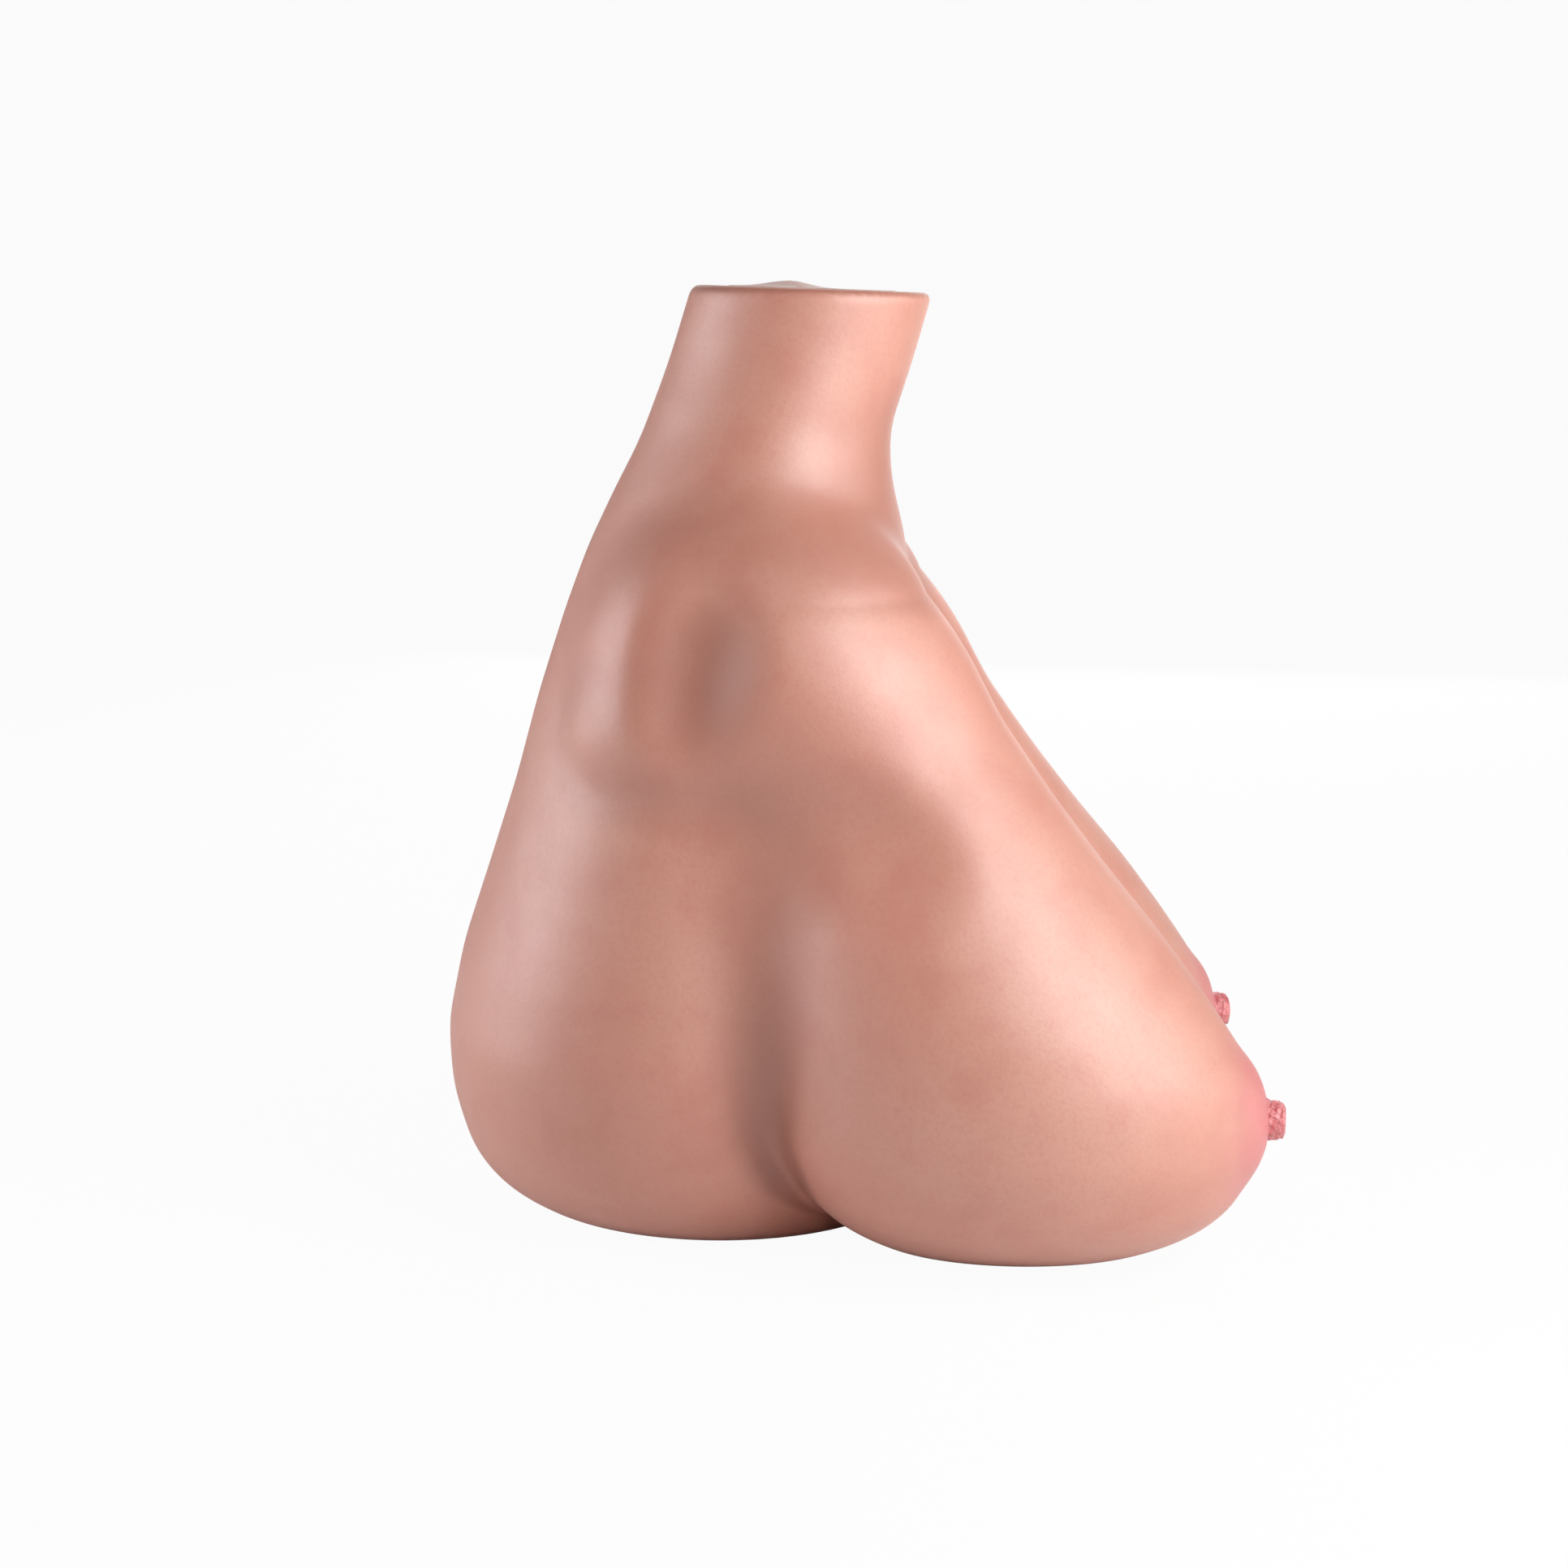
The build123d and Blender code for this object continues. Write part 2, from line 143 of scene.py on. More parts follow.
# One breast: height, middle across, middle along Y, half width, half depth
BREAST = [
    (0, 76, -170, 30, 58),
    (12, 78, -171, 54, 83),
    (30, 82, -171, 72, 100),
    (60, 85, -168, 83, 111),
    (90, 85, -164, 84, 110),
    (120, 83, -153, 81, 101),
    (150, 80, -141, 73, 91),
    (180, 75, -129, 63, 78),
    (210, 70, -117, 54, 67),
    (240, 64, -106, 45, 57),
    (270, 58, -98, 35, 46),
    (300, 52, -88, 20, 32),
]
SHOULDER = dict(middle=(66, -60, 264), radii=(53, 59, 57))
SCAPULA = dict(middle=(68, -13, 272), radii=(42, 38, 52), lean=0.10)
SIDE_SHELF = dict(middle=(76, -22, 240), radii=(36, 50, 28))
VALLEY = dict(middle=(142, -24, 284), radii=(34, 27, 58), lean=0.14)
ARMPIT = dict(middle=(160, -96, 204), radii=(32, 42, 28))
AREOLA = dict(middle=(89, -266, 66), radii=(24, 13.5, 24))
# How widely each form is blended into those before it
SCAPULA_BLEND = 24
SHELF_BLEND = 18
VALLEY_BLEND = 20
AREOLA_BLEND = 12
ARMPIT_BLEND = 26
GROUND_BLEND = 5
BREAST_TOP = 312
BREAST_TOP_BLEND = 40
NIPPLE_BASE = (90, -276, 66)
NIPPLE_TURN = radians(8)
NECK_CUT = 435.0
NECK_TILT = radians(2.0)
NECK_MIDDLE = -73.0
RIM_BLEND = 5.0
SPINE_FURROW = 4.5
TORSO_TABLE = smooth_table(TORSO, 7)
BREAST_TABLE = smooth_table(BREAST, 7)
# Widths of the blends at each height: shoulder to neck, breast to breast, breast to torso
NAPE_TABLE = smooth_table([(150, 16), (255, 16), (285, 18), (310, 25), (340, 38), (430, 38)], 12)
CLEAVAGE_TABLE = smooth_table([(0, 14), (130, 14), (200, 46), (250, 80), (400, 80)], 14)
FOLD_TABLE = smooth_table([(0, 6), (30, 9), (60, 16), (100, 24), (160, 36), (260, 50), (400, 50)], 12)


def torso_distance(x, y, z):
    """About how far a point is outside the plain torso and neck."""
    heights, (back, front, half_width) = TORSO_TABLE
    back, front, half_width = (np.interp(z, heights, curve) for curve in (back, front, half_width))
    return ellipse_distance(x, y - (back + front) / 2, half_width, (back - front) / 2)


def breast_distance(x, y, z):
    """About how far a point is outside the left breast."""
    heights, curves = BREAST_TABLE
    across, along, half_width, half_depth = (np.interp(z, heights, curve) for curve in curves)
    sideways = ellipse_distance(x - across, y - along, half_width, half_depth)
    return soft_max(sideways, z - BREAST_TOP, BREAST_TOP_BLEND)


def skin_distance(x, y, z):
    """About how far a point is outside the skin."""
    side = np.abs(x)
    form = torso_distance(x, y, z)
    form = soft_min(form, ellipsoid(side, y, z, **SCAPULA), SCAPULA_BLEND)
    form = soft_min(form, ellipsoid(side, y, z, **SIDE_SHELF), SHELF_BLEND)
    blends = (NAPE_TABLE, CLEAVAGE_TABLE, FOLD_TABLE)
    nape, cleavage, fold = (np.interp(z, heights, curve) for heights, (curve,) in blends)
    nape = nape * (0.85 + 0.15 * np.tanh((y + 85) / 45))  # narrower in front
    form = soft_min(form, ellipsoid(side, y, z, **SHOULDER), nape)
    form = soft_max(form, -ellipsoid(side, y, z, **VALLEY), VALLEY_BLEND)
    breasts = soft_min(breast_distance(x, y, z), breast_distance(-x, y, z), cleavage)
    form = soft_min(form, breasts, fold)
    form = soft_min(form, ellipsoid(side, y, z, **AREOLA), AREOLA_BLEND)
    form = soft_max(form, -ellipsoid(side, y, z, **ARMPIT), ARMPIT_BLEND)
    furrow = np.interp(z, (90, 170, 330, 400), (0, 1, 1, 0)) * np.interp(y, (-20, 10), (0, 1))
    form = form + SPINE_FURROW * furrow * np.exp(-((x / 17) ** 2))
    neck_plane = (z - NECK_CUT) * cos(NECK_TILT) - (y - NECK_MIDDLE) * sin(NECK_TILT)
    form = soft_max(form, neck_plane, RIM_BLEND)
    return soft_max(form, -z, GROUND_BLEND)


def skin_slope(points, step=0.4):
    """The gradient of skin_distance at each point."""
    slope = np.empty_like(points)
    for axis in range(3):
        ahead, behind = points.copy(), points.copy()
        ahead[:, axis] += step
        behind[:, axis] -= step
        slope[:, axis] = (skin_distance(*ahead.T) - skin_distance(*behind.T)) / (2 * step)
    return slope


def settle(points, rounds):
    """Pull points onto the skin."""
    for _ in range(rounds):
        slope = skin_slope(points)
        reach = skin_distance(*points.T) / np.maximum((slope**2).sum(axis=1), 0.05)
        points = points - np.clip(reach, -3, 3)[:, None] * slope
    return points


VOXEL = 2.6
GRID_LOW = np.array((-176.0, -300.0, -8.0))
GRID_HIGH = np.array((176.0, 116.0, 446.0))


def mesh_skin():
    """Points and quads all over the skin."""
    ticks = [np.arange(low, high, VOXEL) for low, high in zip(GRID_LOW, GRID_HIGH)]
    values = np.empty([len(t) for t in ticks], np.float32)
    for i, x in enumerate(ticks[0]):
        y, z = np.meshgrid(ticks[1], ticks[2], indexing="ij")
        values[i] = np.clip(skin_distance(np.full_like(y, x), y, z), -4 * VOXEL, 4 * VOXEL)
    grid = openvdb.FloatGrid(4 * VOXEL)
    grid.copyFromArray(values)
    points, quads = grid.convertToQuads(isovalue=0.0)
    points = points.astype(float) * VOXEL + GRID_LOW
    quads = quads.astype(int)
    edges = np.concatenate([quads[:, (0, 1)], quads[:, (1, 2)], quads[:, (2, 3)], quads[:, (3, 0)]])
    edges = np.unique(np.sort(edges, axis=1), axis=0)
    for _ in range(4):
        total = np.zeros_like(points)
        count = np.zeros(len(points))
        for a, b in ((0, 1), (1, 0)):
            np.add.at(total, edges[:, a], points[edges[:, b]])
            np.add.at(count, edges[:, a], 1)
        points = 0.5 * points + 0.5 * total / count[:, None]
        points = settle(points, 1)
    return settle(points, 2), quads


def new_piece(name, points, faces):
    """A smooth-shaded mesh object from points in metres."""
    mesh = bpy.data.meshes.new(name)
    mesh.from_pydata([tuple(p) for p in points], [], [tuple(int(i) for i in f) for f in faces])
    mesh.update()
    mesh.shade_smooth()
    piece = bpy.data.objects.new(name, mesh)
    bpy.context.scene.collection.objects.link(piece)
    return piece


def lathe(profile, turns=72):
    """Points (side, up, along) and faces of a form turned from (radius, along) pairs, closed at both ends."""
    angles = np.linspace(0, 2 * pi, turns, endpoint=False)
    rings = np.array([(r * cos(t), r * sin(t), h) for r, h in profile for t in angles])
    faces = []
    for ring in range(len(profile) - 1):
        a, b = ring * turns, (ring + 1) * turns
        faces += [(a + i, a + (i + 1) % turns, b + (i + 1) % turns, b + i) for i in range(turns)]
    last = (len(profile) - 1) * turns
    faces.append(tuple(reversed(range(turns))))
    faces.append(tuple(last + i for i in range(turns)))
    return rings, faces


def smooth_profile(stations, count):
    """Evenly many points along a rounded line through the stations."""
    rows = np.array(stations, float)
    along = np.concatenate([[0], np.cumsum(np.hypot(*np.diff(rows, axis=0).T))])
    fine = np.linspace(0, along[-1], 12 * count)
    line = np.array([np.interp(fine, along, column) for column in rows.T])
    width = np.hanning(17) / np.hanning(17).sum()
    padded = np.pad(line, ((0, 0), (8, 8)), mode="edge")
    line = np.array([np.convolve(row, width, mode="valid") for row in padded])
    return line[:, np.linspace(0, line.shape[1] - 1, count).astype(int)].T


# ---------------------------------------------------------------- materials
class Look:
    """One material's nodes, laid out from the object's own coordinates."""

    def __init__(self, name, roughness, metallic=0.0):
        self.material = bpy.data.materials.new(name)
        self.material.use_nodes = True
        self.tree = self.material.node_tree
        self.shader = self.tree.nodes["Principled BSDF"]
        self.shader.inputs["Roughness"].default_value = roughness
        self.shader.inputs["Metallic"].default_value = metallic
        self.place = self.node("ShaderNodeTexCoord").outputs["Object"]

    def node(self, kind, links=None, **settings):
        """A new node with its settings, and its sockets linked or set."""
        made = self.tree.nodes.new(kind)
        for key, value in settings.items():
            setattr(made, key, value)
        for socket, value in (links or {}).items():
            if hasattr(value, "is_output"):
                self.tree.links.new(value, made.inputs[socket])
            else:
                made.inputs[socket].default_value = value
        return made

    def noise(self, scale, detail=2.0, place=None, distortion=0.0):
        """Soft uneven values from 0 to 1."""
        links = {"Vector": place or self.place, "Scale": scale, "Detail": detail, "Distortion": distortion}
        return self.node("ShaderNodeTexNoise", links).outputs["Fac"]

    def stretched(self, factors):
        """Coordinates scaled by a factor along each axis."""
        links = {"Vector": self.place, "Scale": factors}
        return self.node("ShaderNodeMapping", links).outputs["Vector"]

    def spread(self, value, low, high, to_low=0.0, to_high=1.0, smooth=False):
        """The value, with low to high spread over to_low to to_high."""
        links = {"Value": value, "From Min": low, "From Max": high, "To Min": to_low, "To Max": to_high}
        curve = "SMOOTHSTEP" if smooth else "LINEAR"
        return self.node("ShaderNodeMapRange", links, interpolation_type=curve).outputs["Result"]

    def blend(self, share, first, second):
        """A colour between the first and the second, by share."""
        mix = self.node("ShaderNodeMix", {"Factor": share}, data_type="RGBA")
        for socket, value in (("A", first), ("B", second)):
            target = next(i for i in mix.inputs if i.name == socket and i.type == "RGBA")
            if hasattr(value, "is_output"):
                self.tree.links.new(value, target)
            else:
                target.default_value = (*value, 1.0)
        return next(o for o in mix.outputs if o.type == "RGBA")

    def set(self, socket, value):
        """Links a value to one of the shader's own sockets."""
        self.tree.links.new(value, self.shader.inputs[socket])

    def bump(self, height, depth, under=None):
        """A relief of the given depth in metres, laid over the one under it."""
        links = {"Height": height, "Distance": depth, "Strength": 1.0}
        if under is not None:
            links["Normal"] = under
        return self.node("ShaderNodeBump", links).outputs["Normal"]


PEACH = (0.63, 0.24, 0.158)
ROSE = (0.57, 0.17, 0.108)
PALE = (0.66, 0.285, 0.197)
PINK = (0.66, 0.145, 0.150)
# A dark red-brown painted into the skin's colour as shade in its hollows and along the shoulder groove.
PAINTED_SHADE_COLOUR = (0.40, 0.115, 0.060)  # in the hollows
RING = (0.66, 0.12, 0.13)  # round the nipples
PORE_DEPTH = 0.00006


def finish_skin(look, specular, coat):
    """The satin sheen and slight glow through that all the elastomer pieces share."""
    cells = look.node("ShaderNodeTexVoronoi", {"Vector": look.place, "Scale": 620.0}).outputs["Distance"]
    grain = look.bump(look.noise(950.0, 2.0), PORE_DEPTH)
    look.set("Roughness", look.spread(look.noise(60.0, 3.0), 0.3, 0.7, 0.52, 0.62))
    look.shader.inputs["Specular IOR Level"].default_value = specular
    look.shader.inputs["Coat Weight"].default_value = coat
    look.shader.inputs["Coat IOR"].default_value = 1.8
    look.shader.inputs["Coat Roughness"].default_value = 0.58
    look.shader.inputs["Sheen Weight"].default_value = 0.08
    look.shader.inputs["Sheen Roughness"].default_value = 0.5
    look.shader.inputs["Subsurface Weight"].default_value = 0.18
    look.shader.inputs["Subsurface Radius"].default_value = (1.0, 0.4, 0.25)
    look.shader.inputs["Subsurface Scale"].default_value = 0.012
    return look.bump(cells, PORE_DEPTH, grain)


def skin_material():
    look = Look("skin", 0.42)
    patches = look.spread(look.noise(9.0, 3.0), 0.38, 0.66, smooth=True)
    colour = look.blend(patches, PEACH, PALE)
    flush = look.spread(look.noise(38.0, 4.0), 0.42, 0.75, 0.0, 0.45, smooth=True)
    colour = look.blend(flush, colour, ROSE)
    specks = look.spread(look.noise(420.0, 2.0), 0.45, 0.8, 0.0, 0.35)
    colour = look.blend(specks, colour, ROSE)
    # Painted shade: the colour darkens towards the dark red-brown where the skin dips in and along the
    # shoulder groove.
    painted_shade = look.node("ShaderNodeAttribute", attribute_name="painted_shade").outputs["Fac"]
    colour = look.blend(look.spread(painted_shade, 0, 1, 0.0, 0.85), colour, PAINTED_SHADE_COLOUR)
    parts = look.node("ShaderNodeSeparateXYZ", {"Vector": look.place}).outputs
    across = look.node("ShaderNodeMath", {0: parts["X"]}, operation="ABSOLUTE").outputs["Value"]
    both_sides = {"X": across, "Y": parts["Y"], "Z": parts["Z"]}
    folded = look.node("ShaderNodeCombineXYZ", both_sides).outputs["Vector"]
    nipple = tuple(value * MM for value in NIPPLE_BASE)
    reach = look.node("ShaderNodeVectorMath", {0: folded, 1: nipple}, operation="DISTANCE").outputs["Value"]
    wander = look.spread(look.noise(70.0, 3.0), 0.3, 0.7, -0.004, 0.004)
    reach = look.node("ShaderNodeMath", {0: reach, 1: wander}, operation="ADD").outputs["Value"]
    colour = look.blend(look.spread(reach, 0.010, 0.060, 0.95, 0.0, smooth=True), colour, PINK)
    colour = look.blend(look.spread(reach, 0.011, 0.020, 0.6, 0.0, smooth=True), colour, RING)
    look.set("Base Color", colour)
    under = finish_skin(look, 1.0, 1.0)
    pebble = look.node("ShaderNodeTexVoronoi", {"Vector": look.place, "Scale": 330.0}).outputs["Distance"]
    near = look.spread(reach, 0.012, 0.030, 1.0, 0.0, smooth=True)
    pebble = look.node("ShaderNodeMath", {0: pebble, 1: near}, operation="MULTIPLY").outputs["Value"]
    look.set("Normal", look.bump(pebble, 0.0004, under))
    return look.material


def nipple_material():
    look = Look("skin_pink", 0.4)
    patches = look.spread(look.noise(160.0, 3.0), 0.35, 0.68, smooth=True)
    colour = look.blend(patches, (0.60, 0.10, 0.11), (0.78, 0.21, 0.22))
    links = {"Vector": look.place, "Scale": 290.0, "Randomness": 1.0}
    creases = look.node("ShaderNodeTexVoronoi", links, feature="DISTANCE_TO_EDGE").outputs["Distance"]
    # Painted shade: the colour darkens to a deep red along the crease lines, where the bump sinks them.
    colour = look.blend(look.spread(creases, 0.0, 0.12, 0.55, 0.0, smooth=True), colour, (0.46, 0.06, 0.07))
    look.set("Base Color", colour)
    under = finish_skin(look, 1.0, 1.0)
    look.set("Normal", look.bump(look.spread(creases, 0.0, 0.16, smooth=True), 0.0003, under))
    return look.material


def cap_material():
    look = Look("skin_cap", 0.5)
    patches = look.spread(look.noise(55.0, 4.0), 0.36, 0.66, smooth=True)
    look.set("Base Color", look.blend(patches, (0.56, 0.29, 0.23), (0.66, 0.38, 0.31)))
    look.set("Normal", finish_skin(look, 0.8, 0.4))
    return look.material


def foam_material():
    look = Look("foam", 0.9)
    cells = look.node("ShaderNodeTexVoronoi", {"Vector": look.place, "Scale": 750.0}).outputs["Distance"]
    tone = look.blend(look.spread(look.noise(14.0, 4.0), 0.35, 0.7), (0.73, 0.66, 0.46), (0.80, 0.74, 0.56))
    # Painted shade: each foam cell darkens towards its middle, where the bump sinks it.
    look.set("Base Color", look.blend(look.spread(cells, 0.0, 0.5, 0.5, 0.0), tone, (0.50, 0.43, 0.28)))
    look.set("Normal", look.bump(cells, 0.0006))
    return look.material


def gel_material():
    look = Look("gel", 0.2)
    clouds = look.spread(look.noise(22.0, 5.0, distortion=1.2), 0.35, 0.7, smooth=True)
    look.set("Base Color", look.blend(clouds, (0.74, 0.50, 0.42), (0.82, 0.62, 0.54)))
    look.set("Roughness", look.spread(look.noise(45.0, 3.0), 0.3, 0.7, 0.12, 0.30))
    look.set("Normal", look.bump(look.noise(30.0, 3.0), 0.0006))
    look.shader.inputs["Subsurface Weight"].default_value = 0.5
    look.shader.inputs["Subsurface Radius"].default_value = (1.0, 0.6, 0.5)
    look.shader.inputs["Subsurface Scale"].default_value = 0.02
    return look.material


def metal_material(name, dark, light, stretch, rough, depth):
    """Bare metal with drawn or cast marks, stretched along one axis, and duller patches."""
    look = Look(name, 0.35, metallic=1.0)
    marks = look.noise(60.0, 4.0, place=look.stretched(stretch))
    stains = look.spread(look.noise(35.0, 4.0), 0.40, 0.75, 0.0, 0.6, smooth=True)
    bright = look.blend(look.spread(marks, 0.3, 0.7), dark, light)
    look.set("Base Color", look.blend(stains, bright, tuple(0.6 * value for value in dark)))
    look.set("Roughness", look.spread(look.noise(80.0, 4.0, place=look.stretched(stretch)), 0.3, 0.7, *rough))
    look.set("Normal", look.bump(marks, depth))
    return look.material


def knob_material():
    look = Look("knob_plastic", 0.6)
    look.set("Base Color", look.blend(look.noise(40.0, 3.0), (0.018, 0.018, 0.020), (0.032, 0.032, 0.034)))
    look.set("Roughness", look.spread(look.noise(90.0, 3.0), 0.3, 0.7, 0.48, 0.66))
    look.set("Normal", look.bump(look.noise(1400.0, 2.0), 0.00005))
    return look.material


def flange_material():
    look = Look("flange_steel", 0.45)
    chips = look.spread(look.noise(120.0, 5.0), 0.66, 0.70)
    look.set("Base Color", look.blend(chips, (0.014, 0.014, 0.016), (0.16, 0.15, 0.14)))
    look.set("Roughness", look.spread(look.noise(500.0, 2.0), 0.3, 0.7, 0.36, 0.55))
    look.set("Normal", look.bump(look.noise(420.0, 2.0), 0.0001))
    return look.material


def plywood_material():
    look = Look("plywood", 0.6)
    parts = look.node("ShaderNodeSeparateXYZ", {"Vector": look.place}).outputs
    ply = look.node("ShaderNodeMath", {0: parts["Z"], 1: 0.0028}, operation="PINGPONG").outputs["Value"]
    ply = look.spread(ply, 0.0010, 0.0018)
    grain = look.noise(34.0, 5.0, place=look.stretched((1.0, 14.0, 14.0)), distortion=0.6)
    wood = look.blend(look.spread(grain, 0.3, 0.7), (0.50, 0.33, 0.17), (0.68, 0.49, 0.29))
    look.set("Base Color", look.blend(look.spread(ply, 0, 1, 0.0, 0.45), wood, (0.34, 0.19, 0.08)))
    look.set("Roughness", look.spread(grain, 0.3, 0.7, 0.5, 0.72))
    look.set("Normal", look.bump(grain, 0.00025))
    return look.material


INNER_LOOKS = {
    "foam_core": foam_material(),
    "breast_gel": gel_material(),
    "spine_tube": metal_material(
        "steel_tube_spine", (0.33, 0.33, 0.33), (0.52, 0.52, 0.51), (9, 9, 0.6), (0.28, 0.45), 0.00004
    ),
    "shoulder_tube": metal_material(
        "steel_tube_shoulder", (0.33, 0.33, 0.33), (0.52, 0.52, 0.51), (0.6, 9, 9), (0.28, 0.45), 0.00004
    ),
    "shoulder_knob": knob_material(),
    "cross_clamp": metal_material(
        "clamp_aluminium", (0.50, 0.51, 0.52), (0.64, 0.65, 0.66), (8, 8, 8), (0.40, 0.60), 0.00015
    ),
    "clamp_screws": metal_material(
        "screw_steel", (0.36, 0.36, 0.34), (0.56, 0.56, 0.52), (6, 6, 6), (0.25, 0.42), 0.00003
    ),
    "floor_flange": flange_material(),
    "base_board": plywood_material(),
}
INNER_LOOKS["flange_screws"] = INNER_LOOKS["clamp_screws"]
INNER_LOOKS["neck_plug"] = INNER_LOOKS["base_board"]
for node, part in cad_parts.items():
    for start, look in INNER_LOOKS.items():
        if node.startswith(start):
            for place in part.material_slots:
                place.link = "OBJECT"
                place.material = look

# ---------------------------------------------------------------- skin
# How far out the skin is probed for dips, how strongly a dip takes the painted shade, and how quickly the
# painted shade fades away from the shoulder groove.
SHADE_PROBE_REACH = 26.0
PAINTED_SHADE_GAIN = 3.0
GROOVE_SHADE_FADE = 9


def mark_painted_shade(piece, points):
    """A value for each point that rises where the skin dips in and along the shoulder groove: how much
    painted shade the skin's colour takes there.
    """
    slope = skin_slope(points)
    away = slope / np.maximum(np.linalg.norm(slope, axis=1), 0.2)[:, None]
    clear = skin_distance(*(points + SHADE_PROBE_REACH * away).T) / SHADE_PROBE_REACH
    painted_shade = piece.data.attributes.new("painted_shade", "FLOAT", "POINT")
    x, y, z = points.T
    # Painted shade along the shoulder groove, fading outside it.
    groove_shade = np.exp(-((np.maximum(ellipsoid(np.abs(x), y, z, **VALLEY), 0) / GROOVE_SHADE_FADE) ** 2))
    depth = np.maximum(np.clip((1.0 - clear) * PAINTED_SHADE_GAIN, 0, 1), groove_shade)
    painted_shade.data.foreach_set("value", depth.astype(np.float32))


points, quads = mesh_skin()
skin = new_piece("skin", points * MM, quads[:, ::-1])
mark_painted_shade(skin, points)
skin.data.materials.append(skin_material())
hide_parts("body_skin")
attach(skin, "root")

# ---------------------------------------------------------------- nipples
# Radius and reach outwards from the middle of the base
NIPPLE_PROFILE = [
    (4, -5), (14, -4), (13, -0.5), (11.6, 1.6), (10.2, 3.2), (9.2, 5.0), (8.9, 7.5),
    (8.7, 10.2), (7.8, 12.2), (5.5, 13.1), (2.0, 13.3), (0.3, 13.3),
]  # fmt: skip
CREASE_HEIGHT = 11.0
CREASE_DEPTH = 0.45
PIT_DEPTH = 0.5


def make_nipple(name, side, look):
    """One nipple: a turned form with uneven wrinkles, a crease near its tip and a small pit."""
    rings, faces = lathe(smooth_profile(NIPPLE_PROFILE, 56))
    radius = np.hypot(rings[:, 0], rings[:, 1])
    turn = np.arctan2(rings[:, 1], rings[:, 0])
    height = rings[:, 2]
    wrinkle = 0.20 * np.sin(7 * turn + 1.3 * height + side) + 0.16 * np.sin(12 * turn - 0.9 * height + 2)
    wrinkle += 0.18 * np.sin(3 * turn + 2.1 * height)
    share = np.interp(radius, (1.5, 7), (0, 1)) * np.interp(height, (-1, 2), (0, 1))
    crease = np.exp(-(((height - CREASE_HEIGHT - 0.35 * np.sin(4 * turn + 1)) / 0.45) ** 2))
    crease *= np.interp(radius, (5, 7), (0, 1))
    grown = 1 + (share * wrinkle - CREASE_DEPTH * crease) / np.maximum(radius, 1)
    pit = PIT_DEPTH * np.exp(-((radius / 2.2) ** 2)) * (height > 12)
    out = Vector((side * sin(NIPPLE_TURN), -cos(NIPPLE_TURN), 0))
    up = Vector((0, 0, 1))
    turned = Matrix((up.cross(out), up, out)).transposed()
    base = np.array((side * NIPPLE_BASE[0], NIPPLE_BASE[1], NIPPLE_BASE[2]))
    local = np.column_stack([rings[:, 0] * grown, rings[:, 1] * grown, height - pit])
    nipple = new_piece("nipple_" + name + "_skin", (local @ np.array(turned).T + base) * MM, faces)
    nipple.data.materials.append(look)
    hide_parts("nipple_" + name)
    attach(nipple, "root")


nipple_look = nipple_material()
for name, side in SIDES.items():
    make_nipple(name, side, nipple_look)

# ---------------------------------------------------------------- neck cap
CAP_RADII = (40.5, 39.5)
CAP_PROFILE = [(2, -9), (39, -9), (40.5, -7), (40.5, -0.6), (39.7, 0.25), (38, 0.3), (20, 0.3), (0.3, 0.3)]
CAP_BUMP = (2.0, -63.0)
CAP_BUMP_HEIGHT = 3.0
CAP_BUMP_SPREAD = 12.5
CAP_NUB = (-27, -68)
CAP_NUB_HEIGHT = 0.8
rings, faces = lathe(smooth_profile(CAP_PROFILE, 90), turns=96)
scale = CAP_RADII[1] / CAP_RADII[0]
x, y, height = rings[:, 0], rings[:, 1] * scale + NECK_MIDDLE, rings[:, 2]
swirl = 1 + 0.16 * np.sin(3 * np.arctan2(y - CAP_BUMP[1], x - CAP_BUMP[0]) + 0.6)
away = np.hypot(x - CAP_BUMP[0], (y - CAP_BUMP[1]) * 1.05) * swirl
bump = CAP_BUMP_HEIGHT * np.exp(-((away / CAP_BUMP_SPREAD) ** 2))
nub = CAP_NUB_HEIGHT * np.exp(-(((x - CAP_NUB[0]) / 1.6) ** 2) - (((y - CAP_NUB[1]) / 1.9) ** 2))
level = NECK_CUT + (y - NECK_MIDDLE) * np.tan(NECK_TILT)
top = np.interp(height, (-6, 0), (0, 1))
cap = new_piece("neck_cap_skin", np.column_stack([x, y, level + height + top * (bump + nub)]) * MM, faces)
cap.data.materials.append(cap_material())
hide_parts("neck_cap")
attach(cap, "root")


# ---------------------------------------------------------------- floor and light
WORLD_LIGHT = 0.15
FLOOR_GLOW = 0.95  # so that the floor looks pale without lighting the torso from below
MIDDLE = (0.0, -0.09, 0.2)


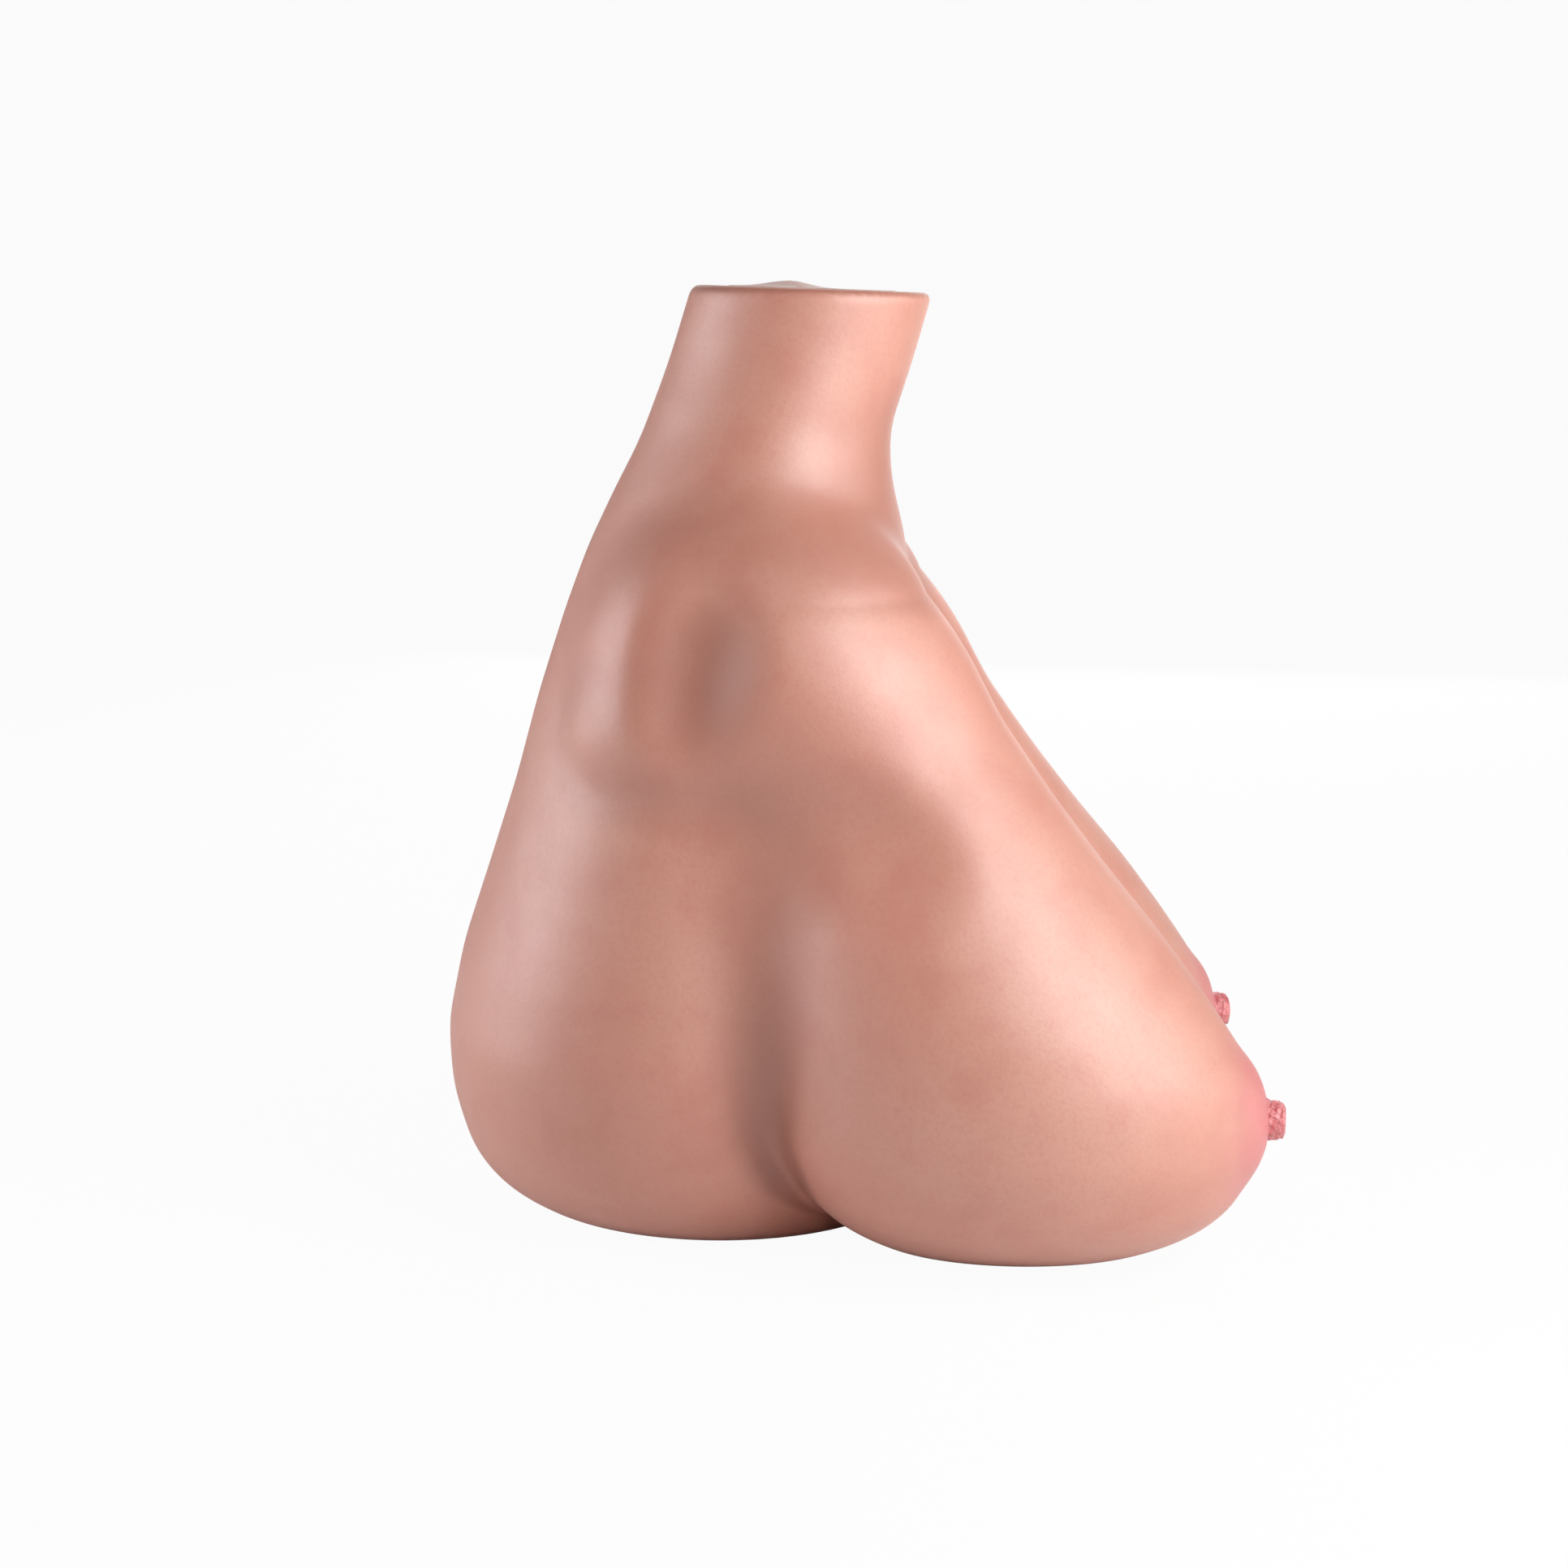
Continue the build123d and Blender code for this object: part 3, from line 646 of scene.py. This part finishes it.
def make_floor():
    """A pale floor that curves up far away, all round."""
    steps = [(2.6 * r, 0.0) for r in (0.0, 0.5, 1.0)]
    steps += [(2.6 + 2.4 * sin(radians(a)), 2.4 - 2.4 * cos(radians(a))) for a in range(6, 67, 6)]
    mesh = bpy.data.meshes.new("floor")
    shape = bmesh.new()
    rings = []
    for radius, height in steps[1:]:
        turns = [2 * pi * i / 96 for i in range(96)]
        rings.append([shape.verts.new((radius * cos(t), radius * sin(t), height)) for t in turns])
    shape.faces.new(rings[0])
    for inner, outer in zip(rings, rings[1:]):
        for i in range(96):
            shape.faces.new((inner[i - 1], outer[i - 1], outer[i], inner[i]))
    bmesh.ops.recalc_face_normals(shape, faces=shape.faces)
    shape.to_mesh(mesh)
    shape.free()
    mesh.shade_smooth()
    floor = bpy.data.objects.new("floor", mesh)
    bpy.context.scene.collection.objects.link(floor)
    look = Look("floor", 0.85)
    look.set("Base Color", look.blend(look.noise(3.0), (0.80, 0.80, 0.80), (0.82, 0.82, 0.82)))
    glow = look.node("ShaderNodeEmission", {"Color": (1, 1, 1, 1), "Strength": 1.0}).outputs[0]
    seen = look.node("ShaderNodeLightPath").outputs["Is Camera Ray"]
    share = look.spread(seen, 0, 1, 0.0, FLOOR_GLOW)
    mix = look.node("ShaderNodeMixShader", {0: share, 1: look.shader.outputs[0], 2: glow})
    look.tree.links.new(mix.outputs[0], look.tree.nodes["Material Output"].inputs["Surface"])
    mesh.materials.append(look.material)


def area_light(name, place, aim, size, power, colour=(1.0, 1.0, 1.0)):
    """A soft rectangular lamp that lights the torso without being seen itself."""
    data = bpy.data.lights.new(name, "AREA")
    data.shape = "RECTANGLE"
    data.size, data.size_y = size
    data.energy = power
    data.color = colour
    light = bpy.data.objects.new(name, data)
    light.location = place
    light.visible_camera = False
    light.rotation_euler = (Vector(aim) - Vector(place)).to_track_quat("-Z", "Y").to_euler()
    bpy.context.scene.collection.objects.link(light)


def make_world():
    """White all round, dimmer as a light than as a background."""
    world = bpy.data.worlds.new("world")
    world.use_nodes = True
    tree = world.node_tree
    seen = tree.nodes["Background"]
    seen.inputs["Color"].default_value = (1, 1, 1, 1)
    light = tree.nodes.new("ShaderNodeBackground")
    light.inputs["Color"].default_value = (1, 1, 1, 1)
    light.inputs["Strength"].default_value = WORLD_LIGHT
    mix = tree.nodes.new("ShaderNodeMixShader")
    tree.links.new(tree.nodes.new("ShaderNodeLightPath").outputs["Is Camera Ray"], mix.inputs[0])
    tree.links.new(light.outputs[0], mix.inputs[1])
    tree.links.new(seen.outputs[0], mix.inputs[2])
    tree.links.new(mix.outputs[0], tree.nodes["World Output"].inputs["Surface"])
    bpy.context.scene.world = world


make_floor()
make_world()
bpy.context.scene.view_settings.view_transform = "Standard"
area_light("back_softbox", (-0.08, 1.55, 0.5), MIDDLE, (1.1, 1.4), 19, (1.0, 0.97, 1.0))
area_light("front_softbox", (-0.6, -1.75, 0.75), MIDDLE, (2.1, 1.7), 21)
area_light("front_lamp", (-0.52, -0.64, 0.62), (0.0, -0.14, 0.16), (0.5, 0.6), 4.9)
area_light("far_softbox", (1.6, -0.3, 0.7), MIDDLE, (1.5, 1.3), 11)
